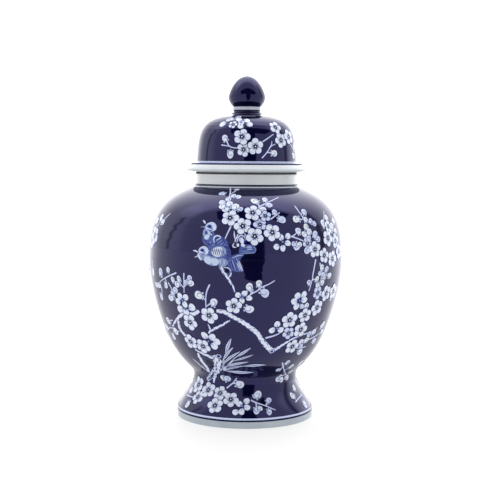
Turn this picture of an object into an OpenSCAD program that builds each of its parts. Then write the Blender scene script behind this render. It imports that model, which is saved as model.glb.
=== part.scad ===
// Lidded porcelain ginger jar: a baluster jar on a flared foot, and a domed lid that lifts off.
// Millimetres, +Z up, origin at the centre of the ring that the jar stands on.
// Every clay part is a turned shape, drawn as an outline of [radius, height] points.

/* [Foot] */
// Diameter of the ring that the jar stands on
foot_d = 143; // [136:1:150]
// Height of the white foot rim
foot_rim_h = 8; // [6:0.5:10]
// Width of the foot rim, from its outside to the recess under the jar
foot_rim_w = 11; // [8:0.5:14]
// Diameter of the waist above the foot
waist_d = 108.5; // [102:0.5:114]
// Height of the waist
waist_z = 42.5; // [40:0.5:46]

/* [Belly] */
// Diameter at the widest turn
belly_d = 205; // [196:1:214]
// Height of the widest turn
belly_z = 169; // [160:1:176]
// Thickness of the jar's wall and floor
wall = 7; // [5:0.5:8]

/* [Neck] */
// Outer diameter of the neck
neck_d = 107.6; // [102:0.2:112]
// Diameter of the mouth
mouth_d = 93; // [90:0.5:95]
// Height of the line where shoulder and neck meet
neck_root_z = 243.4; // [236:0.2:250]
// Height of the neck
neck_h = 12; // [9:0.2:14]

/* [Lid] */
// Diameter of the lid's overhanging rim
flange_d = 129.6; // [124:0.2:134]
// Height of the rim, from its seat to the foot of the dome
flange_h = 11; // [10:0.5:14]
// Diameter of the dome at its foot
dome_d = 105.8; // [104:0.2:108]
// Height of the dome
dome_h = 49.8; // [44:0.2:54]
// Thickness of the dome's wall
lid_wall = 6; // [4.5:0.5:6.5]
// How far the locating ring drops into the neck
locating_drop = 14; // [8:1:20]
// Gap all round between the locating ring and the mouth
locating_gap = 1.2; // [0.8:0.1:2]

/* [Finial] */
// Diameter of the white ring under the bud
collar_d = 30.4; // [27:0.2:32]
// Height of the collar with its cove
collar_h = 8; // [7:0.2:10]
// Diameter of the bud
bud_d = 39.2; // [36:0.2:42]
// Height of the bud
bud_h = 32; // [28:0.5:36]

/* [Hidden] */
$fn = 128;
curve_steps = 14;
arc_steps = 6;

foot_r = foot_d / 2;
waist_r = waist_d / 2;
belly_r = belly_d / 2;
neck_r = neck_d / 2;
mouth_r = mouth_d / 2;
flange_r = flange_d / 2;
dome_r = dome_d / 2;
collar_r = collar_d / 2;
bud_r = bud_d / 2;

// The lid's seat stays this far above the neck, the thickness of the fired kiln wash
seat_gap = 0.2;
neck_top_z = neck_root_z + neck_h;
lid_z = neck_top_z + seat_gap;
dome_z = lid_z + flange_h;
collar_z = dome_z + dome_h;
bud_z = collar_z + collar_h;

floor_z = foot_rim_h + wall;
root_r = neck_r + 1.5;
ring_w = 4;
locating_r = mouth_r - locating_gap;

// Point at t, from 0 to 1, on the cubic curve with the control points p
function on_curve(p, t) =
    pow(1 - t, 3) * p[0] + 3 * t * pow(1 - t, 2) * p[1]
    + 3 * pow(t, 2) * (1 - t) * p[2] + pow(t, 3) * p[3];

// Unit direction of that curve at t
function curve_dir(p, t) =
    let (d = pow(1 - t, 2) * (p[1] - p[0]) + 2 * t * (1 - t) * (p[2] - p[1]) + pow(t, 2) * (p[3] - p[2]))
    d / norm(d);

// The curve as points, moved to its left by inset: the inside of a wall whose outside runs upward
function curve(p, inset = 0) =
    [for (i = [0:curve_steps])
        let (t = i / curve_steps, d = curve_dir(p, t))
        on_curve(p, t) + inset * [-d[1], d[0]]];

// Points on a round corner of radius r about centre c, from angle a to angle b
function arc(c, r, a, b) =
    [for (i = [0:arc_steps])
        let (t = a + (b - a) * i / arc_steps)
        c + r * [cos(t), sin(t)]];

function reversed(list) = [for (i = [len(list) - 1:-1:0]) list[i]];

// Solid between a wall's outside and inside outlines, both listed upward
module turned_wall(outside, inside) {
    rotate_extrude()
        polygon(concat(outside, reversed(inside)));
}

// Outline of the foot, upright at the rim and at the waist
foot_curve = [[foot_r, foot_rim_h], [foot_r, foot_rim_h + 8.8], [waist_r, waist_z - 10.6], [waist_r, waist_z]];

// Lower belly: out of the waist to a sloping middle point, then round to the widest turn
slope_a = 31.7;
slope_dir = [sin(slope_a), cos(slope_a)];
slope_pt = [waist_r + 0.458 * (belly_r - waist_r), waist_z + 0.251 * (belly_z - waist_z)];
flare_curve = [[waist_r, waist_z], [waist_r, waist_z + 10.7], slope_pt - 25.8 * slope_dir, slope_pt];
bowl_curve = [slope_pt, slope_pt + 18.3 * slope_dir, [belly_r, belly_z - 36], [belly_r, belly_z]];

// Shoulder: from the widest turn to the neck's root, which it meets at a shallow slope
root_a = 24;
root_dir = [cos(root_a), -sin(root_a)];
root_pt = [root_r, neck_root_z];
shoulder_curve = [[belly_r, belly_z], [belly_r, belly_z + 54], root_pt + 23.8 * root_dir, root_pt];

// Dome: nearly upright at its foot, level at its top
dome_top_z = collar_z + 0.6;
dome_curve = [[dome_r, dome_z], [dome_r - 2.7, dome_z + 33], [dome_r - 0.8, dome_top_z], [0, dome_top_z]];

module foot_rim() {
    edge = 1.5;
    inner_r = foot_r - foot_rim_w;
    color("gainsboro")
        turned_wall(
            concat(arc([foot_r - edge, edge], edge, -90, 0), [[foot_r, foot_rim_h]]),
            concat(reversed(arc([inner_r + edge, edge], edge, 180, 270)), [[inner_r, foot_rim_h]]));
}

// Closed at the bottom: its floor is the floor of the jar, set up inside the foot rim
module flared_foot() {
    inside = curve(foot_curve, wall);
    mouth = inside[len(inside) - 1];
    color("midnightblue")
        rotate_extrude()
            difference() {
                polygon(concat([[0, foot_rim_h]], curve(foot_curve), [[0, waist_z]]));
                intersection() {
                    polygon(concat([[0, foot_rim_h]], inside, [mouth + [0, 1], [0, mouth[1] + 1]]));
                    translate([0, floor_z])
                        square([foot_r, waist_z]);
                }
            }
}

module lower_belly() {
    color("navy")
        turned_wall(
            concat(curve(flare_curve), curve(bowl_curve)),
            concat(curve(flare_curve, wall), curve(bowl_curve, wall)));
}

module upper_belly() {
    inside = [for (p = curve(shoulder_curve, wall)) if (p[0] > mouth_r + 2) p];
    color("midnightblue")
        turned_wall(
            curve(shoulder_curve),
            concat(inside, [[mouth_r, neck_root_z - wall], [mouth_r, neck_root_z]]));
}

module neck_ring() {
    outer_edge = 1.8;
    inner_edge = 1.5;
    cove = 1.5;
    color("whitesmoke")
        turned_wall(
            concat(
                reversed(arc([root_r, neck_root_z + cove], cove, 180, 270)),
                arc([neck_r - outer_edge, neck_top_z - outer_edge], outer_edge, 0, 90)),
            concat(
                [[mouth_r, neck_root_z]],
                reversed(arc([mouth_r + inner_edge, neck_top_z - inner_edge], inner_edge, 90, 180))));
}

// The seat is a flat ring over the neck. Outside it the rim's underside rises a little to a round lip,
// and from the lip its top swells up to the foot of the dome
module lid_flange() {
    lip = 1.7;
    lip_end_a = 48;
    seat_r = neck_r - 0.6;
    inner_r = locating_r - ring_w;
    dome_inner_r = dome_r - lid_wall;
    lip_pt = [flange_r - lip, lid_z + 3.3];
    lip_end = lip_pt + lip * [cos(lip_end_a), sin(lip_end_a)];
    dome_foot = [dome_r, dome_z];
    swell = [lip_end, lip_end + 5 * [-sin(lip_end_a), cos(lip_end_a)], dome_foot + [4.6, -0.1], dome_foot];
    color("whitesmoke")
        turned_wall(
            concat(
                [[inner_r, lid_z], [seat_r, lid_z], [seat_r + 0.8, lid_z + 0.7]],
                arc(lip_pt, lip, -82, lip_end_a),
                curve(swell)),
            [[inner_r, lid_z + 4], [dome_inner_r, dome_z - 4.5], [dome_inner_r, dome_z]]);
}

module lid_locating_ring() {
    edge = 1.2;
    bottom_z = lid_z - locating_drop;
    color("linen")
        turned_wall(
            concat(
                arc([locating_r - edge, bottom_z + edge], edge, -90, 0),
                [[locating_r, lid_z]]),
            [[locating_r - ring_w, bottom_z], [locating_r - ring_w, lid_z]]);
}

// Flat on top, where the finial's collar is luted on
module lid_dome() {
    inside = curve(dome_curve, lid_wall);
    color("midnightblue")
        rotate_extrude()
            intersection() {
                difference() {
                    polygon(concat([[0, dome_z]], curve(dome_curve)));
                    polygon(concat([[0, dome_z - 1], [inside[0][0], dome_z - 1]], inside));
                }
                translate([0, dome_z])
                    square([dome_r, dome_h]);
            }
}

module finial_collar() {
    cove_h = 3.2;
    bead = [collar_r - 1, collar_z + cove_h];
    top = [collar_r - 1, bud_z];
    color("whitesmoke")
        rotate_extrude()
            polygon(concat(
                [[0, collar_z]],
                curve([[collar_r + 2.2, collar_z], [collar_r + 1.4, collar_z + 2], bead - [0, 1.8], bead]),
                curve([bead + [0, 0.2], bead + [1.3, 0.6], top + [1.3, -1.2], top]),
                [[0, bud_z]]));
}

module finial_bud() {
    widest = [bud_r, bud_z + 0.3 * bud_h];
    top = [0, bud_z + bud_h];
    color("midnightblue")
        rotate_extrude()
            polygon(concat(
                [[0, bud_z]],
                curve([[collar_r, bud_z], [collar_r + 1.4, bud_z + 1.6], widest - [0, 5], widest]),
                curve([widest, widest + [0, 4.6], top + [12.8, 0], top])));
}

foot_rim();
flared_foot();
lower_belly();
upper_belly();
neck_ring();
lid_flange();
lid_dome();
lid_locating_ring();
finial_collar();
finial_bud();
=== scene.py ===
"""Looks of the ginger jar: glazed porcelain, painted with blossom, twigs, leaves and two birds.

The jar and lid are smooth turned surfaces on the outlines of the CAD nodes. The painting is thin
enamel, laid on them by brush functions. A place on the surface is an angle in degrees round the jar
(0 is the front, positive to the right) and a height in millimetres.
"""
import math

import bmesh
import bpy
import mathutils
import numpy as np
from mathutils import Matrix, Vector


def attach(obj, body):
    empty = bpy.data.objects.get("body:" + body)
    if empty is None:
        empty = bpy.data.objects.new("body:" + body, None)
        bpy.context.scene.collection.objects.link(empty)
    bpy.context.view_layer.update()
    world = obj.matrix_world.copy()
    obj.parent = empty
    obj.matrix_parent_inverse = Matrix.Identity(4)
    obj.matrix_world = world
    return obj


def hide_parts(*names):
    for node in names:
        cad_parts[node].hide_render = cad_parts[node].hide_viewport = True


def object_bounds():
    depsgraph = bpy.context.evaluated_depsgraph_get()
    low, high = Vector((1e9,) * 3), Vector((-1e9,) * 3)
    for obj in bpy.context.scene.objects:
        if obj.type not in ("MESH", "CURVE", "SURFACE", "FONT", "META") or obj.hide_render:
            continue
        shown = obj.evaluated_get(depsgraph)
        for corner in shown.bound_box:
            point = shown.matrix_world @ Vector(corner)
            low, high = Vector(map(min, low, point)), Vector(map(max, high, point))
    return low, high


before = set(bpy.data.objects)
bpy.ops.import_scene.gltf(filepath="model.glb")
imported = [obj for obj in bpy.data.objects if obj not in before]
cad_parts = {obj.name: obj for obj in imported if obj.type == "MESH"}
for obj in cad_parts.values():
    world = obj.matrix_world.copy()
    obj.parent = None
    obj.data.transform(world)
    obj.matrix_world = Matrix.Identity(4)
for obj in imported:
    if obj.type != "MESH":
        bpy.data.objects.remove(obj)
cad_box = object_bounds()

MM = 0.001
JAR, LID = "jar", "lid"
TURNS = 256
ON_PLANE = 0.002
rng = np.random.default_rng(20)


# ---- Outlines of the CAD nodes

def outline(node):
    """The node's outline in the half plane y = 0, x > 0, as (radius, height) places in mm."""
    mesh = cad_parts[node].data
    places = {}
    for v in mesh.vertices:
        x, y, z = v.co / MM
        if abs(y) < ON_PLANE and x > -ON_PLANE:
            places[v.index] = (round(x, 2), round(z, 2))
    joined = {}
    for edge in mesh.edges:
        a, b = (places.get(i) for i in edge.vertices)
        if a and b and a != b:
            joined.setdefault(a, set()).add(b)
            joined.setdefault(b, set()).add(a)
    ends = sorted(p for p in joined if len(joined[p]) == 1)
    line = [ends[0] if ends else min(joined)]
    while fresh := sorted(joined[line[-1]] - set(line)):
        line.append(fresh[0])
    return line


def between(line, start, end):
    """The points of a list from the one nearest start to the one nearest end."""
    i, j = (min(range(len(line)), key=lambda k: math.dist(line[k], p)) for p in (start, end))
    return line[i:j + 1] if i <= j else line[j:i + 1][::-1]


def refined(points, step):
    """Points about step mm apart on a Catmull-Rom spline through the given ones."""
    p = np.array(points, float)
    p = p[np.r_[True, np.hypot(*np.diff(p, axis=0).T) > 1e-3]]
    p = np.vstack([2 * p[0] - p[1], p, 2 * p[-1] - p[-2]])
    out = []
    for a, b, c, d in zip(p, p[1:], p[2:], p[3:]):
        ab, bc, cd = math.dist(a, b), math.dist(b, c), math.dist(c, d)
        leave = (c - a) * bc / (ab + bc)
        arrive = (d - b) * bc / (bc + cd)
        count = max(1, int(round(bc / step)))
        for t in np.arange(count) / count:
            out.append((2 * t**3 - 3 * t**2 + 1) * b + (t**3 - 2 * t**2 + t) * leave
                       + (3 * t**2 - 2 * t**3) * c + (t**3 - t**2) * arrive)
    out.append(p[-2])
    return np.array(out)


FOOT, FLARE = outline("foot_rim"), outline("flared_foot")
LOWER, UPPER = outline("lower_belly"), outline("upper_belly")
NECK, FLANGE, DOME = outline("neck_ring"), outline("lid_flange"), outline("lid_dome")
RING, COLLAR, BUD = outline("lid_locating_ring"), outline("finial_collar"), outline("finial_bud")

FOOT_R, FOOT_Z = FLARE[-1]
FLOOR_IN = FLARE[0]
WAIST, BELLY = LOWER[-1], max(LOWER)
BELLY_IN = LOWER[LOWER.index(BELLY) - 1]
ROOT_IN, ROOT = UPPER[1:3]
NECK_TOP = max(NECK, key=lambda p: p[1])
DOME_Z = max(z for r, z in FLANGE)
DOME_IN = min(p for p in DOME if p[1] == DOME_Z)
DOME_OUT = DOME[DOME.index(DOME_IN) + 1]

JAR_OUT = (between(FLARE, WAIST, (FOOT_R, FOOT_Z))[::-1][:-1]
           + between(LOWER, BELLY, WAIST)[::-1][:-1] + between(UPPER, ROOT, BELLY)[::-1])
JAR_IN = (between(FLARE, FLOOR_IN, LOWER[0])[:-1] + between(LOWER, LOWER[0], BELLY_IN)[:-1]
          + between(UPPER + UPPER[:1], BELLY_IN, UPPER[-1]))


# ---- Materials

COBALT_TINT = (0.325, 0.315, 0.70)
COBALT_ROUGH = 0.055
SOFT_IOR = 1.38
WHITE = (1, 1, 1)


def socket(node, name, value):
    node.inputs[name].default_value = value


def place_node(tree):
    return tree.nodes.new("ShaderNodeTexCoord").outputs["Object"]


def noise(tree, scale, detail):
    made = tree.nodes.new("ShaderNodeTexNoise")
    socket(made, "Scale", scale)
    socket(made, "Detail", detail)
    tree.links.new(place_node(tree), made.inputs["Vector"])
    return made.outputs["Fac"]


def shaded(name, colour, rough=0.08, ior=1.5, tint=WHITE):
    """A glossy material: its colour on the shader's own socket, its gloss gently uneven."""
    material = bpy.data.materials.new(name)
    material.use_nodes = True
    tree = material.node_tree
    shader = tree.nodes["Principled BSDF"]
    socket(shader, "Base Color", (*colour, 1))
    socket(shader, "IOR", ior)
    socket(shader, "Specular Tint", (*tint, 1))
    spread = tree.nodes.new("ShaderNodeMapRange")
    socket(spread, "To Min", rough * 0.7)
    socket(spread, "To Max", rough * 1.4)
    tree.links.new(noise(tree, 45, 3), spread.inputs["Value"])
    tree.links.new(spread.outputs["Result"], shader.inputs["Roughness"])
    return material


def mottled(material, dark, light, scale):
    tree = material.node_tree
    ramp = tree.nodes.new("ShaderNodeValToRGB")
    for stop, position, colour in zip(ramp.color_ramp.elements, (0.3, 0.7), (dark, light)):
        stop.position = position
        stop.color = (*colour, 1)
    tree.links.new(noise(tree, scale, 4), ramp.inputs["Fac"])
    tree.links.new(ramp.outputs["Color"], tree.nodes["Principled BSDF"].inputs["Base Color"])
    return material


def rippled(material, strength, scale, distance):
    tree = material.node_tree
    bump = tree.nodes.new("ShaderNodeBump")
    socket(bump, "Strength", strength)
    socket(bump, "Distance", distance)
    tree.links.new(noise(tree, scale, 1), bump.inputs["Height"])
    tree.links.new(bump.outputs["Normal"], tree.nodes["Principled BSDF"].inputs["Normal"])
    return material


def fired(name, dark, light, scale, rough=0.10, ior=1.5, tint=WHITE, ripple=(0.2, 22, 0.0004)):
    """A fired surface, mottled between two colours; ripple is its strength, scale and depth."""
    return rippled(mottled(shaded(name, light, rough, ior, tint), dark, light, scale), *ripple)


def cobalt_glaze():
    return fired("cobalt_glaze", (0.0020, 0.0019, 0.016), (0.0040, 0.0036, 0.032), 30,
                 COBALT_ROUGH, 1.85, COBALT_TINT, (0.05, 18, 0.0004))


def white_glaze():
    return fired("white_glaze", (0.71, 0.74, 0.76), (0.78, 0.80, 0.82), 35, ior=SOFT_IOR)


# A greyer white for the foot ring, darker than the neck's glaze partly as painted shade near the floor.
def foot_glaze_and_shade():
    return fired("foot_glaze_and_shade", (0.36, 0.41, 0.47), (0.43, 0.48, 0.54), 40)


# Painted shade: the white glaze made darker for the lid's flange, which faces up into the overhead light.
def rim_glaze_painted_shade():
    return fired("rim_glaze_painted_shade", (0.51, 0.55, 0.58), (0.58, 0.62, 0.65), 35, ior=SOFT_IOR)


def ring_glaze():
    return fired("ring_glaze", (0.55, 0.57, 0.70), (0.63, 0.65, 0.78), 40)


# Painted shade: a dull near-black for the seat faces, standing in for the shade in the gap between lid and
# neck.
def seat_painted_shade():
    dull = shaded("seat_painted_shade", (0.10, 0.11, 0.11), 0.8)
    return mottled(dull, (0.06, 0.065, 0.065), (0.15, 0.16, 0.15), 200)


def biscuit():
    return fired("biscuit", (0.50, 0.47, 0.41), (0.68, 0.65, 0.58), 160, 0.75, ripple=(0.6, 900, 0.0002))


def dark_ink(name, colour, ior=1.6):
    """Blue under the clear glaze."""
    return shaded(name, colour, COBALT_ROUGH, ior, COBALT_TINT)


GLAZES = {"cobalt": cobalt_glaze(), "white": white_glaze(), "foot": foot_glaze_and_shade(), "rim": rim_glaze_painted_shade(),
          "ring": ring_glaze(), "seat": seat_painted_shade(), "biscuit": biscuit()}
INKS = {
    "petal": shaded("petal_white", (0.69, 0.745, 0.88)),
    "down": shaded("bird_white", (0.50, 0.60, 0.79)),
    "petal_cool": shaded("petal_cool", (0.56, 0.63, 0.88)),
    "petal_warm": shaded("petal_warm", (0.71, 0.78, 0.82)),
    "wash": shaded("wash_blue", (0.23, 0.30, 0.54)),
    "twig": shaded("twig_lavender", (0.57, 0.63, 0.88)),
    "bird": dark_ink("bird_blue", (0.070, 0.105, 0.31)),
    "deep": dark_ink("bird_deep", (0.03, 0.05, 0.22)),
    "line": dark_ink("line_blue", (0.010, 0.016, 0.15), 1.45),
    "ink": dark_ink("ink_blue", (0.003, 0.003, 0.03), 1.4),
    "groove": shaded("groove_blue", (0.008, 0.010, 0.07), 0.5, 1.15),
}


# ---- Turned pieces

def outward(mesh):
    work = bmesh.new()
    work.from_mesh(mesh)
    bmesh.ops.recalc_face_normals(work, faces=work.faces)
    work.to_mesh(mesh)
    work.free()
    mesh.update()


def placed(name, mesh):
    made = bpy.data.objects.new(name, mesh)
    bpy.context.scene.collection.objects.link(made)
    return made


def lathe(name, profile, glazes, body, nodes, band=lambda i, r, z: 0, sharp=38):
    """A piece turned about Z from an outline, closed or from axis to axis. band gives the glaze of
    each stretch from its number and middle point."""
    profile = np.array(profile, float)
    verts, rows = [], []
    for r, z in profile * MM:
        if r < 1e-9:
            rows.append([len(verts)] * TURNS)
            verts.append((0, 0, z))
        else:
            rows.append(list(range(len(verts), len(verts) + TURNS)))
            verts += [(r * math.cos(t), r * math.sin(t), z) for t in np.arange(TURNS) * 2 * math.pi / TURNS]
    closed = min(profile[0][0], profile[-1][0]) > 1e-6
    faces, slots = [], []
    for i in range(len(rows) if closed else len(rows) - 1):
        j = (i + 1) % len(rows)
        for k in range(TURNS):
            n = (k + 1) % TURNS
            faces.append(list(dict.fromkeys([rows[i][k], rows[i][n], rows[j][n], rows[j][k]])))
        slots += [band(i, *(profile[i] + profile[j]) / 2)] * TURNS
    mesh = bpy.data.meshes.new(name)
    mesh.from_pydata(verts, [], faces)
    mesh.polygons.foreach_set("material_index", slots)
    mesh.polygons.foreach_set("use_smooth", [True] * len(faces))
    mesh.set_sharp_from_angle(angle=math.radians(sharp))
    outward(mesh)
    for key in glazes:
        mesh.materials.append(GLAZES[key])
    piece = placed(name, mesh)
    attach(piece, body)
    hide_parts(*nodes)


def closed_ring(name, profile, glaze, body, node, low=0, high=0, inner=0):
    """A turned ring on the node's own outline. Its faces between two heights, outside a radius, are
    the seat where jar and lid meet, painted dark as painted shade."""
    lathe(name, profile, [glaze, "seat"] if high else [glaze], body, [node],
          lambda i, r, z: int(low < z < high and r > inner), 50)


def make_jar_wall():
    """The jar from foot to neck in one piece: cobalt outside, white inside and under the foot."""
    outside, recess_r = refined(JAR_OUT, 1.5), FOOT[0][0]
    profile = np.vstack([[(0, FOOT_Z), (recess_r, FOOT_Z), (recess_r + 0.4, FOOT_Z)], outside,
                         [ROOT_IN, UPPER[0]], refined(JAR_IN, 2.0)[::-1], [(0, FLOOR_IN[1])]])
    lathe("jar_wall", profile, ["cobalt", "white"], JAR,
          ["flared_foot", "lower_belly", "upper_belly"],
          lambda i, r, z: 0 if 2 < i < 2 + len(outside) else 1)


def make_foot_ring():
    # The foot ring's glaze is darkened partly as painted shade near the floor.
    closed_ring("foot_ring", FOOT, "foot", JAR, "foot_rim")


def make_neck():
    top = NECK_TOP[1]
    # The faces round the top of the neck take the seat's painted shade.
    closed_ring("neck", NECK, "white", JAR, "neck_ring", top - 0.8, top + 1)


def make_lid_rim():
    seat_z = FLANGE[0][1]
    # The flange takes the rim glaze, a white darkened as painted shade; its faces near the seat, outside the
    # locating ring, take the seat's painted shade.
    closed_ring("lid_rim", FLANGE, "rim", LID, "lid_flange",
                seat_z - 1, seat_z + 0.5, RING[1][0] + 1)


def make_locating_ring():
    closed_ring("locating_ring", RING, "biscuit", LID, "lid_locating_ring")


def make_dome():
    inner = refined(between(DOME, DOME[0], DOME_IN), 1.5)
    outer = refined(between(DOME, DOME_OUT, DOME[-1]), 1.2)
    lathe("dome", np.vstack([inner, outer, [(0, DOME[-1][1])]]), ["cobalt", "white"], LID,
          ["lid_dome"], lambda i, r, z: int(i < len(inner)))


def make_collar():
    """The finial's collar: cobalt, with a white ring just under the bud."""
    top, base = COLLAR[0][1], COLLAR[-1][1]
    lathe("collar", np.vstack([[(0, top)], refined(COLLAR, 0.5), [(0, base)]]), ["ring", "cobalt"],
          LID, ["finial_collar"], lambda i, r, z: int(not 0.2 < top - z < 3.7))


def make_bud():
    lathe("bud", np.vstack([refined(BUD, 0.9), [(0, BUD[-1][1])]]), ["cobalt"], LID,
          ["finial_bud"])


# ---- Surfaces to paint on

# How far the painting lies above the glaze, and what each tier and each layer adds, in mm.
BASE_LIFT, COAT, LAYER = 0.06, 0.02, 0.13


class Skin:
    """An outside surface to paint on: its outline from the bottom up, and the length along it."""

    def __init__(self, stretch):
        self.line = refined(stretch, 0.7)
        self.length = np.r_[0, np.cumsum(np.hypot(*np.diff(self.line, axis=0).T))]
        slope = np.gradient(self.line, self.length, axis=0)
        slope /= np.hypot(*slope.T)[:, None]
        self.out = np.column_stack([slope[:, 1], -slope[:, 0]])

    def along(self, height):
        return np.interp(height, np.maximum.accumulate(self.line[:, 1]), self.length)

    def radius(self, length):
        return np.interp(length, self.length, self.line[:, 0])

    def points(self, turn, length, lift):
        r, z = (np.interp(length, self.length, self.line[:, k]) for k in (0, 1))
        nr, nz = (np.interp(length, self.length, self.out[:, k]) for k in (0, 1))
        r, z = r + nr * lift, z + nz * lift
        return np.column_stack([r * np.sin(turn), -r * np.cos(turn), z]) * MM


def grid(rows, columns):
    corners = (r * columns + c for r in range(rows - 1) for c in range(columns - 1))
    return [(k, k + 1, k + 1 + columns, k + columns) for k in corners]


class Painting:
    """Enamel on a skin. Each shape is a thin sheet just above the glaze; tier says which lies on top
    within a motif, and layer which motif lies on top of another."""

    def __init__(self, skin):
        self.skin, self.shift = skin, 0
        self.wipe()

    def wipe(self):
        self.verts, self.faces, self.inks, self.count = [], [], [], 0

    def add(self, turn, length, faces, ink, layer, tier):
        lift = BASE_LIFT + layer * LAYER + tier * COAT
        self.verts.append(self.skin.points(turn + math.radians(self.shift), length, lift))
        self.faces += [tuple(k + self.count for k in f) for f in faces]
        self.inks += [ink] * len(faces)
        self.count += len(turn)

    def blob(self, at, edge, ink, layer=0, tier=0):
        """A filled patch. at is its centre (angle, height); edge its outline, in mm right and up."""
        n = len(edge)
        rings = max(1, int(math.ceil(np.hypot(*edge.T).max() / 2.2)))
        flat = np.vstack([[(0, 0)]] + [edge * f for f in np.arange(1, rings + 1) / rings])
        length = self.skin.along(at[1]) + flat[:, 1]
        turn = math.radians(at[0]) + flat[:, 0] / np.maximum(self.skin.radius(length), 8)
        faces = [(0, 1 + k, 1 + (k + 1) % n) for k in range(n)]
        for a in range(1, 1 + (rings - 1) * n, n):
            faces += [(a + k, a + n + k, a + n + (k + 1) % n, a + (k + 1) % n) for k in range(n)]
        self.add(turn, length, faces, ink, layer, tier)

    def stroke(self, path, widths, ink, layer=0, tier=0, spacing=1.3):
        """A brush stroke through (angle, height) places; widths in mm are spread evenly along it."""
        path = np.array(path, float)
        length = self.skin.along(path[:, 1])
        scale = self.skin.radius(length).mean()
        flat = np.column_stack([np.radians(path[:, 0]) * scale, length])
        fine = refined(flat, spacing) if len(flat) > 2 else np.array(
            [flat[0] + (flat[1] - flat[0]) * t
             for t in np.linspace(0, 1, max(2, int(math.dist(*flat) / spacing) + 1))])
        turn, length = fine[:, 0] / scale, fine[:, 1]
        radius = self.skin.radius(length)
        slope = np.column_stack([np.gradient(turn) * radius, np.gradient(length)])
        slope /= np.maximum(np.hypot(*slope.T), 1e-9)[:, None]
        half = np.interp(np.linspace(0, 1, len(fine)), np.linspace(0, 1, len(widths)), widths) / 2
        columns = 5 if half.max() > 1.5 else 3
        across = np.linspace(-1, 1, columns)[None, :] * half[:, None]
        turns = turn[:, None] - slope[:, 1, None] * across / radius[:, None]
        lengths = length[:, None] + slope[:, 0, None] * across
        self.add(turns.ravel(), lengths.ravel(), grid(len(fine), columns), ink, layer, tier)

    def ring_line(self, skin, low, high, ink):
        """A painted line right round a turned surface, between two heights."""
        self.skin = skin
        a, b = skin.along(low), skin.along(high)
        rows = np.linspace(a, b, max(2, int((b - a) / 0.6) + 1))
        turn, length = np.meshgrid(np.arange(TURNS + 1) * 2 * math.pi / TURNS, rows)
        self.add(turn.ravel(), length.ravel(), grid(len(rows), TURNS + 1), ink, 0, -1.5)

    def piece(self, name, body, finish):
        """Makes the painting so far into one piece."""
        mesh = bpy.data.meshes.new(name)
        mesh.from_pydata(np.vstack(self.verts), [], self.faces)
        used = sorted(set(self.inks))
        for ink in used:
            mesh.materials.append(INKS[ink])
        mesh.polygons.foreach_set("material_index", [used.index(ink) for ink in self.inks])
        mesh.polygons.foreach_set("use_smooth", [True] * len(self.faces))
        mesh.update()
        face_out(mesh)
        piece = placed(name, mesh)
        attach(piece, body)
        self.wipe()


def face_out(mesh):
    """Turns the sheets' faces so that they look away from the axis, or on the lid's top up."""
    normals, centres = np.zeros((2, len(mesh.polygons) * 3))
    mesh.polygons.foreach_get("normal", normals)
    mesh.polygons.foreach_get("center", centres)
    normals, centres = normals.reshape(-1, 3), centres.reshape(-1, 3)
    facing = (normals * (centres * (1, 1, 0) + (0, 0, 1e-6))).sum(axis=1)
    turned = np.where(centres[:, 2] < 0.3, facing, normals[:, 2] + facing * 30) < 0
    for i in np.nonzero(turned)[0]:
        mesh.polygons[int(i)].flip()


def spun(points, direction):
    x, y = np.array(points, float).reshape(-1, 2).T
    c, s = math.cos(math.radians(direction)), math.sin(math.radians(direction))
    return np.column_stack([x * c - y * s, x * s + y * c])


def oval(width, height, lean=0, count=18):
    """An egg-like outline, leaning by some degrees, a little uneven."""
    t = np.arange(count) * 2 * math.pi / count
    size = 1 + 0.04 * np.sin(2 * t + rng.uniform(0, 6.28)) + 0.04 * np.sin(3 * t + rng.uniform(0, 6.28))
    return spun(np.column_stack([width / 2 * np.cos(t) * size, height / 2 * np.sin(t) * size]), lean)


def grown(edge, by):
    reach = np.hypot(*edge.T)[:, None]
    return edge * (reach + by) / reach


def moved(paint, at, x, y):
    """The place x mm to the right and y mm up the surface from a place (angle, height)."""
    length = paint.skin.along(at[1]) + y
    height = np.interp(length, paint.skin.length, paint.skin.line[:, 1])
    return at[0] + math.degrees(x / paint.skin.radius(length)), float(height)


# ---- Motifs

# The dark edge round a shape, in mm, and the degrees in a radian.
EDGE, RADIAN = 0.75, 57.3


def blossom(paint, angle, height, radius, layer, ink):
    """An open flower seen from the front: five petals that run together, divided by notches."""
    at, start = (angle, height), rng.uniform(0, 72)

    def place(far, turn_by):
        return moved(paint, at, *spun((far, 0), start + turn_by)[0])

    t = np.radians(np.arange(0, 360, 6))
    off = (t + math.pi / 5) % (math.pi / 2.5) - math.pi / 5
    out, size = radius * 0.585, radius * 0.415
    reach = out * np.cos(off) + np.sqrt(np.maximum(size**2 - (out * np.sin(off))**2, 0.3))
    reach *= 1 + 0.05 * np.sin(2 * t + rng.uniform(0, 6.28)) * rng.uniform(0, 1)
    for fill, extra, tier in (("line", EDGE, 0), (ink, 0.0, 1)):
        rim = np.column_stack([np.cos(t), np.sin(t)]) * (reach + extra)[:, None]
        paint.blob(at, spun(rim, start), fill, layer, tier)
    for k in range(0, 360, 72):
        shade = oval(radius * 0.42, radius * 0.26, start + k, 12)
        paint.blob(place(radius * 0.34, k), shade, "petal_cool", layer, 2)
        paint.stroke([place(radius * 0.36, k + 36), place(radius * 0.9, k + 36)], [0.3, 0.5, 1.1],
                     "line", layer, 3)
        paint.blob(place(radius * 0.26, k), oval(radius * 0.3, radius * 0.14, start + k, 8), "wash",
                   layer, 3)
    for k in range(0, 360, 36):
        tip = place(radius * (0.40 if k % 72 else 0.34), k + 18)
        paint.stroke([at, tip], [0.9, 0.45], "line", layer, 4)
        paint.blob(tip, oval(0.9, 0.9, 0, 6), "ink", layer, 4)
    paint.blob(at, oval(radius * 0.52, radius * 0.52, 0, 14), "ink", layer, 5)
    paint.blob(at, oval(radius * 0.18, radius * 0.18, 0, 10), "petal", layer, 6)


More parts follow.
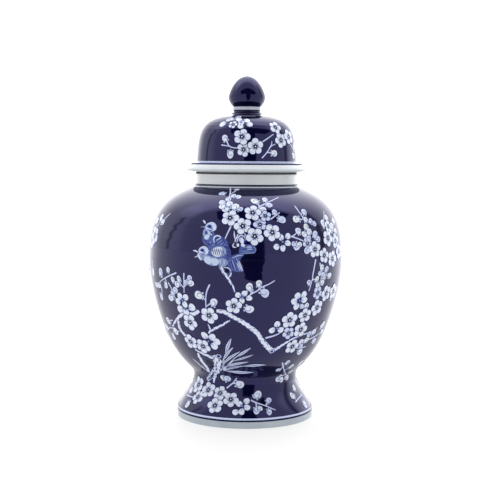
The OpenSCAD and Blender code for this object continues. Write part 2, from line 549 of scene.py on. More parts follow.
def petal(paint, angle, height, size, toward, layer):
    """A petal of a flower seen from behind; toward is where its round end points."""
    at = (angle, height)
    edge = oval(size * 1.02, size * 0.94, toward)
    paint.blob(at, grown(edge, EDGE * 0.8), "ink", layer, 0)
    paint.blob(at, edge, "petal_cool", layer, 1)
    paint.blob(moved(paint, at, *spun((size * 0.07, 0), toward)[0]), edge * 0.8, "petal", layer, 2)
    back = [moved(paint, at, *p) for p in spun([(-size * 0.5, 0), (-size * 0.05, 0)], toward)]
    paint.stroke(back, [1.4, 0.4], "wash", layer, 3)


def bud(paint, angle, height, size, toward, layer, ink):
    """A round bud, with the curved edge of a folded petal and small sepals behind."""
    at = (angle, height)
    edge = oval(size * 2.1, size * 1.9, toward)
    for way in (toward + 145, toward + 180, toward + 215):
        tip = moved(paint, at, *spun((size * 1.05, 0), way)[0])
        paint.blob(tip, oval(size * 0.8, size * 0.5, way), "twig", layer, 0)
    paint.blob(at, grown(edge, EDGE * 0.6), "ink", layer, 1)
    paint.blob(at, edge, "petal_cool", layer, 2)
    paint.blob(moved(paint, at, *spun((size * 0.12, size * 0.08), toward)[0]), edge * 0.8, ink, layer, 3)
    fold = spun(size * np.array([(-0.8, -0.5), (-0.1, -0.5), (0.35, -0.1), (0.1, 0.4), (-0.3, 0.3)]), toward)
    paint.stroke([moved(paint, at, *p) for p in fold], [0.3, 0.7, 0.6, 0.4, 0.2], "bird", layer, 4, 0.9)


def branch(paint, path, widths, marks):
    """A thick branch: white, edged in blue, with strokes of bark along it."""
    paint.stroke(path, [w + 1.3 for w in widths], "line", 0, 2)
    paint.stroke(path, widths, "petal", 0, 3)
    places = refined(path, 0.4)
    for k in range(marks * 2):
        i = int((k + rng.uniform(0.2, 0.8)) / (marks * 2) * (len(places) - 2))
        width = np.interp(i / len(places), np.linspace(0, 1, len(widths)), widths)
        step = (places[i + 1] - places[i]) * (paint.skin.radius(paint.skin.along(places[i][1])) / RADIAN, 1)
        lean = math.degrees(math.atan2(step[1], step[0])) + rng.uniform(-14, 14)
        side = (-0.42, 0.1, 0.4)[k % 3] + rng.uniform(-0.1, 0.1)
        dab = oval(rng.uniform(2.0, 5.0), rng.uniform(0.5, 0.9), lean, 10)
        middle = moved(paint, places[i], *spun((0, side * width), lean)[0])
        paint.blob(middle, dab, ("line", "twig", "deep")[k % 3], 0, 4)


def knot(paint, at, tier, sizes):
    """A knot in the bark: rings one on top of another."""
    for size, ink in zip(sizes, ("line", "twig", "line")):
        paint.blob(at, oval(size, size * 0.8, 20), ink, 0, tier)
        tier += 1


def blade(paint, base, tip, width, bow, layer):
    """A long pointed leaf from base to tip, bowed sideways by some mm, with a dark midrib."""
    base, tip = np.array(base, float), np.array(tip, float)
    middle = np.array(moved(paint, (base + tip) / 2, 0, bow))
    path = [base, middle, tip]
    shape = np.array([0.2, 0.45, 0.8, 1.0, 0.95, 0.75, 0.45, 0.0]) * width
    paint.stroke(path, shape + 1.1, "ink", layer, 0)
    paint.stroke(path, shape, "twig", layer, 1)
    ends = [base + (middle - base) * 0.2, middle, middle + (tip - middle) * 0.75]
    paint.stroke(ends, [0.3, 0.75, 0.2], "line", layer, 2)


def loop(points):
    points = np.array(points, float)
    fine = refined(np.vstack([points[-2:], points, points[:3]]), 1.1)
    first = np.argmin(np.hypot(*(fine - points[0]).T))
    last = first + np.argmin(np.hypot(*(fine[first + 3:] - points[0]).T)) + 3
    return fine[first:last]


def patch(paint, places, ink, layer, tier):
    """A filled patch with a smooth outline through (angle, height) places."""
    places = np.array(places, float)
    at = tuple(places.mean(axis=0))
    length = paint.skin.along(places[:, 1])
    start = paint.skin.along(at[1])
    right = np.radians(places[:, 0] - at[0]) * paint.skin.radius(start + (length - start))
    paint.blob(at, loop(np.column_stack([right, length - start])), ink, layer, tier)


def hatch(paint, start, end, count, reach, width, inks, layer, tier):
    """Strokes side by side, their first ends running from start to end, each going as far as reach."""
    for k in range(count):
        foot = [a + (b - a) * (k / (count - 1)) for a, b in zip(start, end)]
        far = [a + b * rng.uniform(0.85, 1.1) for a, b in zip(foot, reach)]
        paint.stroke([foot, far], [width * 0.5, width, width * 0.3], inks[k % len(inks)], layer, tier)


# ---- The painting, sprig by sprig
# Every sprig is painted on the front, and again on the back with the painting's shift at 180.

def flowers(paint, places, layer, ink="petal"):
    """Places are (angle, height), with the radius where it isn't the usual one."""
    for k, (angle, height, *size) in enumerate(places):
        blossom(paint, angle, height, size[0] if size else 8.5, layer + k % 3, ink)


def buds(paint, places, layer=0):
    """Places are (angle, height, size, direction of the tip)."""
    for k, place in enumerate(places):
        ink = ("petal", "petal", "petal_warm", "petal_cool")[int(rng.integers(4))]
        bud(paint, *place, layer + k % 2, ink)


def petals(paint, middle, places, size, layer=1):
    """Petals of a flower seen from behind, all pointing away from its middle."""
    for angle, height in places:
        toward = math.degrees(math.atan2(height - middle[1], math.radians(angle - middle[0]) * 85))
        petal(paint, angle, height, size, toward, layer)
    paint.blob(middle, oval(3.2, 3.2), "line", layer, 3)
    paint.blob(middle, oval(2.0, 1.6), "wash", layer, 4)


def twigs(paint, paths, width=1.5):
    for path in paths:
        paint.stroke(path, [width + 0.7, width * 0.6 + 0.5], "line", 0, 0)
        paint.stroke(path, [width, width * 0.6], "twig", 0, 1)


def crown_sprig(paint):
    """The cluster at the top of the front, from the neck down over the shoulder."""
    twigs(paint, [[(-15, 241), (-13.5, 238), (-12.7, 235.5), (-12.5, 228)], [(-8.2, 239), (-11, 236.5),
        (-12.6, 235)], [(8.6, 223.6), (14.5, 227.5), (25, 232.5)], [(5, 219), (8.6, 223.6), (8, 227)],
        [(13.2, 210.4), (21.4, 218.2)], [(-8.5, 205), (-10, 199), (-11.5, 193)]])
    curled_flower(paint)
    buds(paint, [(-19.5, 235.7, 3.3, 170), (-8.2, 239.5, 2.4, 20), (-6, 233, 3.2, -10),
        (-9.5, 233.8, 2.8, 60), (-12.7, 230.7, 3, 90), (-11, 226.3, 3.4, 80), (-16.4, 227.4, 3.3, 120),
        (-15.6, 223.6, 3.2, 200), (-13, 221, 3.4, 200), (-6.8, 223.6, 3.8, 60), (-3.6, 221.4, 2.8, 20),
        (6, 229, 3.8, 150), (13.6, 230.4, 3, 90), (15.5, 225.2, 3.2, -20), (18, 218.6, 2.9, 80),
        (21.8, 211.4, 3.9, -20), (10.7, 220.6, 3.9, 60), (6.4, 213.2, 2.8, 100)])
    flowers(paint, [(8.2, 207, 6.6), (11.8, 215, 5.8)], 0, ink="petal_cool")
    flowers(paint, [(-9.3, 213), (4.2, 218), (15, 199.3), (-1.7, 205.5), (5, 195.7, 8.8)], 1)
    petals(paint, (20.8, 190.3), [(20, 194.6), (24.2, 195.6), (23.8, 188.9), (17.1, 185.6), (20.8, 184.2)],
        6.2)


def curled_flower(paint):
    """A flower seen from below, with its sepals drawn as curling strokes."""
    paint.blob((-1.8, 191.5), oval(8.4, 15, 0), "line", 0, 0)
    for at, size, toward in (((-1.9, 191.2), (5.6, 3.6), 96), ((-1.4, 187.2), (4.2, 3), -20),
            ((-4.2, 187.4), (3.4, 2.4), 110)):
        paint.blob(at, oval(*size, toward), "petal", 0, 2)
    for path in ([(-6.4, 200.5), (-6.2, 196), (-5.6, 192.5), (-5.2, 190)], [(-3.6, 199.6), (-4.6, 196),
            (-6, 190.5)], [(-6.2, 189.4), (-7, 186.6), (-6.2, 185.2), (-4.9, 185.4)], [(-4.6, 190),
            (-4.2, 194), (-2.6, 196.6), (-0.6, 195), (-0.2, 191.6)], [(-3.4, 191), (-3, 193.6),
            (-1.6, 194.6)], [(-0.6, 199.6), (-0.2, 196.8), (0.6, 193.4)]):
        paint.stroke(path, [0.5, 1.3, 1.1, 0.5], "twig", 0, 3)


def shoulder_sprig(paint):
    """The spray on the right of the shoulder, hanging from the crown."""
    twigs(paint, [[(34, 224.4), (35.2, 219), (36.5, 214), (37.5, 206)], [(36.5, 214), (39, 211), (42, 209.5),
        (44.5, 207)], [(32.5, 211.7), (35, 211), (36.8, 212)], [(26, 195.5), (32, 192), (36.5, 188.3)],
        [(27, 195), (30, 198.5)], [(52, 202), (56, 212), (60, 218)], [(60, 196), (65, 204), (69, 208)]])
    buds(paint, [(39.3, 218.3, 3.4, 60), (31.5, 211.7, 3.9, 180), (38.5, 211, 2.7, 90), (42, 209.4, 2.8, 60),
        (44.5, 206.8, 2.9, -20), (37.3, 204, 3.2, 90), (31.3, 200.3, 3.4, 120), (39, 199, 3.3, 60),
        (35.3, 197, 3.2, 150), (43.2, 196.3, 3.6, 70), (45.2, 191.7, 3.2, 0), (38, 192.6, 3, 90),
        (29.3, 185.4, 3.8, -90), (27.6, 187.9, 2.6, 180), (31.4, 187.3, 2.6, 0), (36, 181, 3.4, 200),
        (53, 206.4, 4, 120), (58.8, 211.5, 3.6, 80), (62.4, 203, 3.8, 60), (67.5, 208, 3.4, 30),
        (66, 198, 3.2, 0)])
    flowers(paint, [(36.8, 188, 6), (63.5, 188, 7.8), (67.5, 177, 8)], 0, ink="petal_cool")
    flowers(paint, [(42, 181.7, 8.2), (54.5, 191.7, 8.4), (49.5, 175, 7.6), (58.3, 170.8, 8.6),
        (57.5, 203, 6.4)], 1)


def chain_sprig(paint):
    """The chain of blossom down the right side of the belly."""
    twigs(paint, [[(42.5, 172), (41.6, 165), (40.8, 158), (40.5, 152), (39, 140.6)], [(46, 168), (47, 160),
        (48, 150), (46.5, 138)], [(47, 160), (51, 156), (55, 154)], [(40.5, 152), (44, 151.5)], [(38.6, 146),
        (38.5, 149)]], 1.7)
    buds(paint, [(38.2, 149.4, 2.6, 120), (55.8, 154, 3.4, 0), (44.3, 152, 3, 40), (52.3, 161, 3.2, 60),
        (48, 163.4, 3, 120), (49.2, 156, 3, 0), (46.3, 157.4, 2.6, 180), (49.3, 148, 3.2, -30),
        (45.3, 146, 2.8, 200), (62.8, 130, 3.2, -60), (50.6, 152.4, 2.6, 0)])
    flowers(paint, [(46.6, 137.6, 6.8), (29.4, 98.4, 6.8)], 0, ink="petal_cool")
    petals(paint, (33.2, 131.5), [(31.3, 136.6), (35.6, 137.4), (29.4, 131.2), (36.4, 131.9), (31.4, 125.8)],
        7.2)
    buds(paint, [(35.4, 125.4, 2.6, -60), (39, 125.8, 3, 30)])
    flowers(paint, [(28.3, 112.2, 8.8), (39.3, 115.8, 8), (48.5, 122.4, 8.6), (55.3, 136, 8.4),
        (64.5, 136.5, 8.4), (38.5, 101, 8.4)], 1)
    petals(paint, (20.6, 104.2), [(20.2, 108.6), (17.3, 102.4), (23.2, 102.4)], 6.8)


def low_right_sprig(paint):
    """Blossom below the chain, at the end of the main branch."""
    twigs(paint, [[(13.5, 94.4), (19.5, 96.7), (24.5, 100)], [(34.5, 92.2), (42, 95), (50, 97), (56, 100)],
        [(40.5, 81), (46, 80.2), (50.5, 81)], [(47.5, 88), (56, 90), (63, 93)]], 1.9)
    buds(paint, [(42.5, 87.4, 3.2, 60), (47.5, 88.3, 3.4, 30), (48.3, 94.4, 3.2, 90), (53, 96.2, 3.6, 30),
        (45.5, 76, 3.9, -60), (62.5, 101.7, 4.2, 40), (58.5, 85.5, 3.6, -20), (44, 82.5, 2.8, -60),
        (66, 94, 3.4, 0)], 1)
    flowers(paint, [(35.5, 83.3, 8)], 2)


def main_branch(paint):
    """The thick branch that crosses the belly, and its forks."""
    branch(paint, [(-28.5, 121), (-32, 117.5), (-41.5, 115.8), (-46, 111.7), (-50, 107.5), (-56.5, 100)],
        [3.4, 4, 3.6, 2.6, 1.4], 10)
    branch(paint, [(-47.5, 108), (-48.2, 103), (-47.8, 98), (-45.5, 94), (-42, 90)], [3.5, 4.4, 4.2, 3.6], 7)
    branch(paint, [(-9.3, 113), (-13, 109), (-17.5, 105), (-22.5, 100.8), (-24, 98)], [1.6, 2.4, 2.8, 2.2],
        6)
    branch(paint, [(-23.6, 107.5), (-22.8, 104), (-22.3, 101)], [1.2, 2], 1)
    branch(paint, [(-17, 121.9), (-12, 121), (-7.5, 116.7), (-2, 111.7), (3.5, 105.6), (8, 99.4), (11, 92.8),
        (15, 86), (19.2, 80.6)], [3.6, 4.4, 4, 4.8, 4.6, 4.4, 5.2, 5.6], 22)
    branch(paint, [(19, 80.2), (23, 82.2), (27.5, 86.7), (31, 89.5), (34.5, 92.2)], [4.6, 3.4, 2.8, 2.2], 7)
    knot(paint, (19.6, 79.6), 5, (6.6, 5.2, 3.2))


def left_sprig(paint):
    """Blossom and buds on the left, along the main branch."""
    twigs(paint, [[(-20, 148.3), (-21.5, 143.5), (-22.5, 139), (-23.2, 132), (-23.5, 124)], [(-27, 136.5),
        (-25, 135.5), (-23.3, 132)], [(-18.6, 130), (-21, 128.5), (-23.2, 126)], [(-36.3, 158), (-36.6, 153),
        (-36.8, 148), (-37.5, 138)], [(-33, 152), (-35, 147.5), (-36.8, 144)], [(-41, 150.5), (-39, 146),
        (-37.2, 143)], [(-50, 146.7), (-47.6, 141), (-46, 133.3), (-44, 127)], [(-42, 157.5), (-50, 152.5),
        (-57, 147.5), (-60, 145)], [(-58, 141), (-58.6, 136), (-59.6, 131)], [(-52.5, 150.5), (-51.5, 146)],
        [(-30, 121.8), (-36, 121), (-40, 122)], [(-50, 96), (-60, 98), (-70, 93)], [(-54, 107), (-58, 106)],
        [(-56.5, 155), (-56, 150)], [(-62, 205), (-58.5, 210), (-55, 215)], [(-67, 200), (-64, 206)],
        [(-68, 166), (-67.5, 160), (-68, 154)]])
    buds(paint, [(-27.5, 137, 4.4, 170), (-18.3, 130.6, 4, 60), (-32.6, 153.3, 3, 60),
        (-31.8, 148.4, 3.4, -20), (-35.4, 149, 2.4, 60), (-40.3, 151.8, 3, 110), (-42.2, 146, 3.4, 200),
        (-45.3, 150.2, 3, 120), (-44.3, 139.8, 3.5, 30), (-49.4, 131.3, 3.9, 200), (-47.4, 136.5, 2.6, 170),
        (-56.8, 156.3, 4, 90), (-49, 159.6, 2.9, 90), (-52.5, 143.4, 3.3, -90), (-60.8, 130, 3.5, -90),
        (-60.5, 142, 3.3, 180), (-60.3, 105.4, 4, 150), (-54.3, 95.4, 4.2, -30), (-61, 88.5, 3.8, -90),
        (-64, 210, 3.8, 120), (-60, 206, 3.4, 0), (-70, 206.5, 3.8, 160), (-68, 154, 3.6, -90),
        (-64.5, 142, 3.2, 180), (-67, 98, 3.4, 150), (-70, 182, 3.4, 180)])
    petals(paint, (-39.6, 130), [(-41.2, 134.2), (-36.8, 133.6), (-43.4, 128.6), (-38.2, 126.2)], 7.2)
    petals(paint, (-38.6, 121.6), [(-42.8, 120.8), (-33.2, 123.8), (-38.3, 117.6)], 8.4)
    petals(paint, (-25.6, 89.6), [(-27.6, 95.4), (-22.2, 94.2), (-19.4, 89.6), (-21.8, 84.6)], 8, 0)
    flowers(paint, [(-67, 192, 9.4)], 1, ink="petal_cool")
    flowers(paint, [(-22.1, 116.9, 9), (-36.8, 108.1, 8.8), (-40.8, 87.1, 8.4), (-30.9, 83.5, 8.4)], 1)


def centre_sprig(paint):
    """The small sprig over the middle of the main branch."""
    twigs(paint, [[(2.8, 140), (6.5, 142.8), (8.5, 146), (13, 149.4), (16.3, 152.8)], [(2.2, 144), (4, 141),
        (1, 137)], [(7.5, 149), (7.8, 145)], [(10.6, 143), (8, 144)]])
    buds(paint, [(2.3, 146.9, 3.7, 100), (7.5, 150.2, 3.2, 90), (11, 140.6, 4.4, -40),
        (2.5, 124.6, 4.2, -20)])
    petals(paint, (-1.6, 136.4), [(-4, 138.6), (-0.4, 140.4), (-1.9, 132.8), (2.2, 135.6)], 6, 0)
    flowers(paint, [(-6.6, 127.8, 8.2)], 1)


def trunk(paint):
    """The old trunk with its roots, and the spray of long leaves that springs from it."""
    for path, widths, marks in (([(-48, 67), (-45.5, 64), (-43, 60), (-40, 55)], [1.2, 1.8, 2], 2),
            ([(-38, 75), (-38.3, 70), (-37.6, 64), (-36.5, 59), (-38.5, 53)], [2.6, 4.2, 3.8, 4, 3.2], 6),
            ([(-39.5, 78.5), (-34, 75.6), (-29, 73), (-24.5, 71)], [2.4, 3, 3.8, 5], 5), ([(-26, 61),
            (-30, 56), (-35, 51), (-40, 47), (-45.5, 43.4)], [2.6, 4.6, 5.4, 5.8, 3.8], 8), ([(-29, 54),
            (-33, 49.5), (-35.5, 45), (-35.4, 41.5)], [2.6, 4.2, 3.6, 1.4], 4), ([(-24.6, 74), (-22.8, 70),
            (-22.4, 65), (-24, 60.5), (-27, 56.4), (-32, 51.8)], [5, 9.4, 9.6, 8.6, 7.2, 4], 8)):
        branch(paint, path, widths, marks)
    paint.blob((-30.6, 64), oval(6.6, 11.5, 24), "ink", 0, 1)
    for k, (turn, height, length) in enumerate(((-24.6, 71.4, 2), (-20.8, 69.4, 2.4), (-23.4, 66.2, 1.8),
            (-19.6, 64.2, 2.6), (-25.4, 62.4, 2.2), (-21.6, 60.6, 2.6), (-26.6, 58.2, 1.8),
            (-24, 56.2, 2.4))):
        mark = [(turn + 0.5, height + length), (turn + 0.3, height), (turn - 0.6, height - length)]
        paint.stroke(mark, [0.5, 1.5, 0.5], "line", 0, 5)
    for k in range(4):
        paint.stroke([(-30 - k, 55.5 - 1.6 * k), (-36 - k, 50.4 - 1.6 * k), (-43 - k, 45.6 - 1 * k)],
            [0.3, 0.8, 0.3], "line", 0, 5)
    knot(paint, (-20.2, 73.8), 6, (7.4, 6.2, 4.2))
    for k, (base, tip, width, bow) in enumerate((((-14.2, 78), (-9, 94), 3.6, 0.4), ((-17.6, 69),
            (-8, 84.8), 3, 0.8), ((-18, 65), (-3.2, 80.4), 2.9, 1), ((-7, 73.6), (4.4, 84.6), 3, -0.4),
            ((-9.4, 69.2), (6.6, 76.8), 2.4, -0.4), ((-17.6, 61.8), (3.4, 68.8), 3.2, 0.9), ((-17, 59.4),
            (-1.5, 64.2), 2, 0.3), ((-1.6, 63.6), (18, 64.8), 3.4, 0.3), ((-17.2, 57), (8.4, 55.8), 4.8,
            -0.8))):
        blade(paint, base, tip, width, bow, k % 2)
        paint.stroke([(-19.8, 57.5), base], [1.2, 0.8], "twig", 0, 0)


def low_twig(paint):
    """The twig over the waist on the right."""
    twigs(paint, [[(32.3, 65.6), (37, 59), (42, 54.4), (49.5, 48.3)], [(41, 55.5), (44.5, 57.5),
        (46.5, 59.4)], [(36, 60.5), (33.5, 58)], [(47, 50.5), (43, 47)], [(60, 58), (66, 54), (72, 52)]])
    buds(paint, [(38, 65.2, 3, 60), (32.4, 57.3, 2.9, 180), (38.8, 45.6, 3.4, 200), (43.2, 44.6, 3.2, -60),
        (41.2, 48, 2.6, 120), (46.5, 59.6, 3, 60), (52.5, 45.4, 3.2, -30), (54.5, 52, 3, 30),
        (60, 61, 3.6, 90), (69, 58, 3.4, 60)])


def foot_sprig(paint):
    """The band of blossom round the front of the foot."""
    twigs(paint, [[(-19.4, 37.5), (-16, 40.6), (-12.8, 43.1), (-8.3, 48.8)], [(-12.8, 43.1), (-6, 42)],
        [(6, 27.2), (10.5, 25), (19, 21.7), (27.5, 17.2)], [(19, 21.7), (23, 25.5)], [(10.5, 25),
        (10.8, 19)], [(-72, 23.5), (-59, 24), (-54, 25)], [(53, 21), (60, 23), (72, 25)]])
    buds(paint, [(-22.6, 48.2, 3.7, 180), (-18.6, 47.8, 3.7, 30), (-5.2, 42, 4.1, -10), (13.3, 32, 4.1, 40),
        (10.5, 30.5, 2.6, 180), (23.3, 26.3, 3, 40), (10.3, 17.6, 3.4, -90), (13.6, 19.6, 2.6, -30),
        (21.3, 15.9, 3, -90), (-60, 16.6, 3.8, -90), (53.5, 27, 3.8, 150), (66, 16, 4, -90),
        (-69, 29, 3.6, 150), (63, 33, 3.4, 60)])
    petals(paint, (-2.4, 21.8), [(1.9, 26.4), (-4.8, 23.8), (2.2, 20.8), (-2.4, 17), (-7.6, 16.4)], 6.6)
    flowers(paint, [(-50.6, 25.6, 8), (-25.6, 32.4, 7.6), (-59, 36.3, 9), (-41, 33.8, 8.6),
        (-13.3, 27.4, 8.2), (-27.2, 20.8, 8.6)], 0)


def side_sprig(paint):
    """A hanging spray between front and back, with a smaller one under it."""
    twigs(paint, [[(84, 196), (88, 188), (90, 176), (89, 160), (91, 148)], [(90, 176), (95, 170), (98, 163)],
        [(89, 166), (85, 160), (84, 153)], [(88, 104), (93, 99), (95, 90), (93, 82)], [(95, 90), (90, 86)],
        [(88, 44), (93, 38), (92, 28)]])
    buds(paint, [(84, 198.5, 3.4, 110), (88.6, 190, 3, 30), (98.6, 160, 3.6, -70), (83.6, 150, 3.6, -90),
        (87, 170, 3, 180), (91.4, 145, 3.8, -90), (87.6, 106, 3.6, 120), (92.6, 79, 3.6, -90),
        (89, 84.4, 3.2, 200), (88, 46, 3.4, 120), (91.6, 25, 3.4, -90)])
    flowers(paint, [(92, 183, 7.6), (86.4, 176, 7), (93.4, 157, 8.2), (87.6, 155, 7.4), (92.4, 95, 8),
        (96.6, 88.6, 6.8), (93.4, 36, 7.4)], 1)


def upper_bird(paint):
    """The upper bird, facing left with its beak open; its tail shows beyond the lower one's back."""
    patch(paint, [(-3.2, 178.8), (-2.9, 185.8), (0, 187.8), (4.4, 187.2), (5.8, 183.4), (5, 180),
        (1, 178.9)], "bird", 0, 1)
    paint.stroke([(-2.2, 179.5), (1.6, 179.9), (4.8, 180.3), (5.6, 183.2), (4.4, 186.2)],
        [0.5, 0.8, 0.8, 0.7, 0.4], "wash", 0, 2)
    hatch(paint, (-2.2, 181.6), (-1.4, 186.6), 4, (5.6, 0.2), 0.7, ("wash", "deep"), 0, 2)
    hatch(paint, (0.8, 183.4), (0.8, 186.4), 3, (3, 0.1), 0.8, ("petal_cool",), 0, 3)
    patch(paint, [(-10.4, 180), (-11, 189), (-8.4, 188), (-5, 186), (-2.2, 184.4), (-2.6, 179.6),
        (-6, 177.8)], "ink", 0, 0)
    patch(paint, [(-24.2, 197), (-24.6, 190.8), (-22.4, 186.4), (-17, 184.4), (-10.4, 182), (-9.4, 186.8),
        (-10.6, 191.8), (-13.6, 195.4), (-17.4, 196.6), (-19.4, 200), (-22, 201)], "bird", 0, 2)
    hatch(paint, (-23.6, 190.6), (-20.6, 186), 5, (1.4, 0.6), 1.5, ("deep", "line"), 0, 3)
    hatch(paint, (-20.6, 193.6), (-17.8, 187.6), 5, (-0.9, -2.2), 0.9, ("wash", "deep"), 0, 4)
    patch(paint, [(-18.3, 193.4), (-17.6, 195.8), (-15.4, 196.3), (-13.2, 194.6), (-11.4, 191.4),
        (-11.6, 187.6), (-14.2, 186), (-17.2, 188), (-18.2, 190.6)], "deep", 0, 5)
    hatch(paint, (-13.8, 194.4), (-11.2, 187.6), 7, (-3.4, -4.6), 0.8, ("wash", "bird"), 0, 6)
    paint.stroke([(-17.2, 188.8), (-17.9, 192.4), (-17.2, 195.2), (-15, 195.8), (-13.9, 194.2),
        (-14.9, 192.8), (-16.4, 191.6)], [0.6, 1.2, 1.5, 1.4, 1.1, 0.8, 0.4], "petal_cool", 0, 7)
    hatch(paint, (-10.8, 192), (-9.6, 184.8), 6, (1, -2), 0.9, ("deep", "bird"), 0, 6)
    patch(paint, [(-24.3, 201.6), (-24.6, 196), (-22.6, 194.4), (-20.4, 196.4), (-20, 200.4), (-22, 202)],
        "wash", 0, 5)
    paint.blob((-22.7, 198.4), oval(2.6, 3.6, 15), "deep", 0, 6)
    patch(paint, [(-23.6, 194.8), (-23.2, 192.4), (-21.8, 191.8), (-20.8, 193.8), (-20.4, 196),
        (-21.6, 196.6)], "down", 0, 7)
    paint.stroke([(-21.9, 200.6), (-20.8, 197.8), (-19, 196.4)], [0.6, 1.6, 0.8], "down", 0, 7)
    hatch(paint, (-19.8, 199.4), (-17.4, 199), 3, (0.8, -2), 0.9, ("deep", "wash"), 0, 6)
    bird_head(paint, -20.3, 204, 1.12, 0)
    patch(paint, [(-26.2, 210.2), (-24.6, 209.6), (-23.8, 207), (-24.8, 207.4)], "petal_cool", 0, 7)
    paint.stroke([(-26.7, 203.6), (-25, 203.9), (-23.4, 203.2)], [0.4, 0.8, 1.6], "wash", 0, 7)


def lower_bird(paint):
    """The lower bird, in front, facing left, with a scaled wing and its tail spread to the right."""
    patch(paint, [(-9.8, 170), (-9, 174), (-6.6, 177.2), (-3.6, 179.2), (-0.8, 178), (-2.8, 175.4),
        (-3.2, 172), (-2.2, 167.6), (-1.1, 162.6), (-3.4, 161.4), (-6.2, 162.2), (-8.4, 164.6)], "bird", 1,
        0)
    for k in range(8):
        feather = [(-8.8 + 0.55 * k, 171 + 0.5 * k), (-7.9 + 0.9 * k, 163.6 - 0.2 * k)]
        paint.stroke(feather, [0.8, 1, 0.4], ("deep", "bird", "line", "wash")[k % 4], 1, 1)
    for k in range(3):
        paint.stroke([(-4.6 + 0.6 * k, 170 + k), (-2.9 + 0.8 * k, 162.6)], [0.5, 0.8, 0.4], "petal_cool", 1,
            2)
    paint.stroke([(-9, 171), (-7.6, 174.6), (-5, 177), (-1.6, 178)], [0.8, 1.6, 1.6, 0.6], "bird", 1, 2)
    paint.stroke([(-7, 174.8), (-4.8, 176.8), (-1.4, 177.9)], [0.3, 0.7, 0.4], "petal_cool", 1, 3)
    patch(paint, [(-22, 184), (-19, 186), (-13, 186.8), (-9.4, 185.2), (-8, 180.4), (-8.6, 174), (-12, 171),
        (-18, 173), (-22, 178)], "bird", 1, 1)
    patch(paint, [(-12, 186.4), (-9.6, 185.2), (-8.2, 180.4), (-8.8, 174.4), (-10.8, 173), (-10, 179)],
        "deep", 1, 2)
    hatch(paint, (-10.6, 186), (-9.8, 176.6), 6, (1.4, -3), 0.9, ("line", "bird"), 1, 3)
    hatch(paint, (-21.4, 183), (-19.6, 177.8), 5, (1.4, -1), 1, ("deep", "wash"), 1, 2)
    hatch(paint, (-16.6, 175.2), (-9.8, 174.4), 8, (0.6, -1.6), 0.8, ("wash", "deep"), 1, 3)
    patch(paint, [(-24.4, 175.8), (-23, 171), (-20.8, 168.1), (-17.4, 166.8), (-14.8, 168), (-14.4, 171.4),
        (-15.8, 174.6), (-18.6, 175.6), (-21.8, 177)], "wash", 1, 4)
    patch(paint, [(-23.2, 174.8), (-22.4, 170.2), (-20.4, 168.2), (-18.8, 169.6), (-19, 174.2),
        (-21.2, 175.8)], "down", 1, 5)
    patch(paint, [(-18.8, 173.6), (-18.2, 168.4), (-16.2, 167.4), (-14.6, 169.6), (-14.8, 173),
        (-16.6, 174.2)], "down", 1, 5)
    hatch(paint, (-22.4, 176.4), (-15.8, 174), 7, (0.2, -2), 0.7, ("wash", "bird"), 1, 6)
    hatch(paint, (-18.8, 171.6), (-15.2, 170.4), 3, (0.2, -2.2), 0.6, ("wash",), 1, 6)
    patch(paint, [(-14.4, 173.8), (-11.6, 174), (-9.6, 171.4), (-10.2, 167.6), (-12.8, 166.2),
        (-14.4, 168.6)], "wash", 1, 3)
    hatch(paint, (-13.8, 173.4), (-10.6, 172), 4, (0.2, -3.6), 0.8, ("petal_cool", "bird"), 1, 4)
    patch(paint, [(-19, 180.6), (-18.2, 183.6), (-15.4, 185.6), (-12.4, 185.4), (-10.6, 182.6),
        (-10.7, 178.8), (-12.4, 176.4), (-15.2, 175.2), (-17.8, 176.8)], "wash", 1, 4)
    patch(paint, [(-18.6, 180.6), (-17.8, 183.2), (-15.4, 185), (-13, 184.4), (-12.8, 180), (-13.8, 176.4),
        (-16, 175.8), (-17.9, 177.4)], "petal", 1, 5)
    for k in range(6):
        angle = -17.8 + 1.15 * k
        half = 4.3 - 0.45 * (angle + 14.9)**2 / 4
        paint.stroke([(angle - 0.5, 180.4 + half), (angle - 0.1, 180.9), (angle + 0.7, 180.4 - half)],
            [0.3, 1, 0.4], "line" if k < 4 else "bird", 1, 6)
        paint.stroke([(angle - 1, 180.6 + half / 2), (angle + 0.2, 179.8)], [0.3, 0.6], "deep", 1, 6)
    patch(paint, [(-27, 178.6), (-27, 175), (-25, 171.4), (-23.4, 172.6), (-22.4, 176.6), (-24, 178.6)],
        "wash", 1, 5)
    hatch(paint, (-24.6, 177.6), (-23.4, 174.6), 3, (0.6, -1.8), 0.8, ("deep",), 1, 6)
    paint.stroke([(-26.2, 178.2), (-26.3, 175.4), (-24.8, 172.2)], [1, 1.7, 0.7], "petal", 1, 6)
    bird_head(paint, -23.5, 181, 1, 1)
    patch(paint, [(-30.2, 180.6), (-28.8, 181.4), (-27.2, 180.4), (-26.6, 178.9), (-28.2, 179.6)],
        "petal_cool", 1, 7)
    paint.stroke([(-28.9, 174.4), (-27.8, 174.9), (-26.4, 176.8)], [0.4, 0.9, 1.2], "petal_cool", 1, 7)


